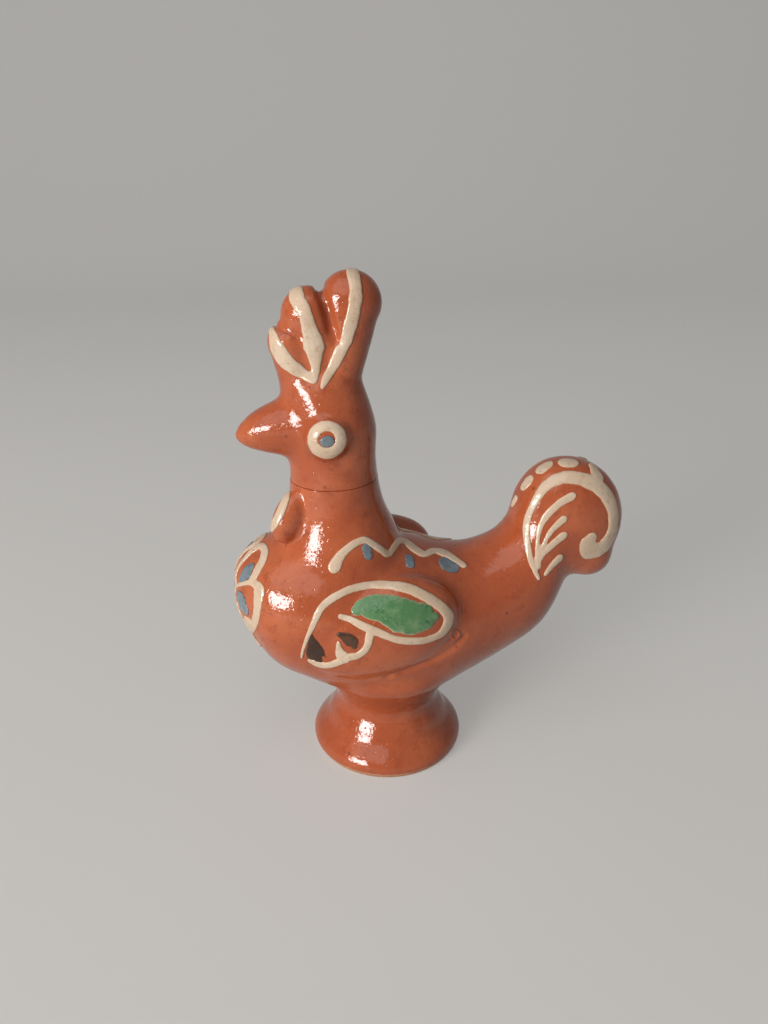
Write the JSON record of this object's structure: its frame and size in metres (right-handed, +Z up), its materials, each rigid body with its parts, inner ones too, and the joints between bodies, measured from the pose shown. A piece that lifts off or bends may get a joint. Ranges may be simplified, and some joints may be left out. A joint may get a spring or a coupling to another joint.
{
  "type": "bird whistle",
  "caption": "Glazed clay rooster whistle on a turned foot, with lobed comb, applied wings, raised slip trails and a windway in the tail.",
  "frame": {"origin": "centre of the flat underside of the foot", "axes": "+Z up through the comb, -X towards the beak, +X towards the tail, -Y the side with the lower wing"},
  "size_m": [0.1004, 0.0472, 0.1251],
  "materials": {
    "clay_glaze": "clear glaze over red clay",
    "cream_slip": "glazed raised slip",
    "blue_slip": "glazed blue slip",
    "green_slip": "mottled green glaze",
    "brown_slip": "glazed dark brown slip"
  },
  "bodies": {
    "root": {"bird_whistle": "clay_glaze"}
  },
  "joints": []
}
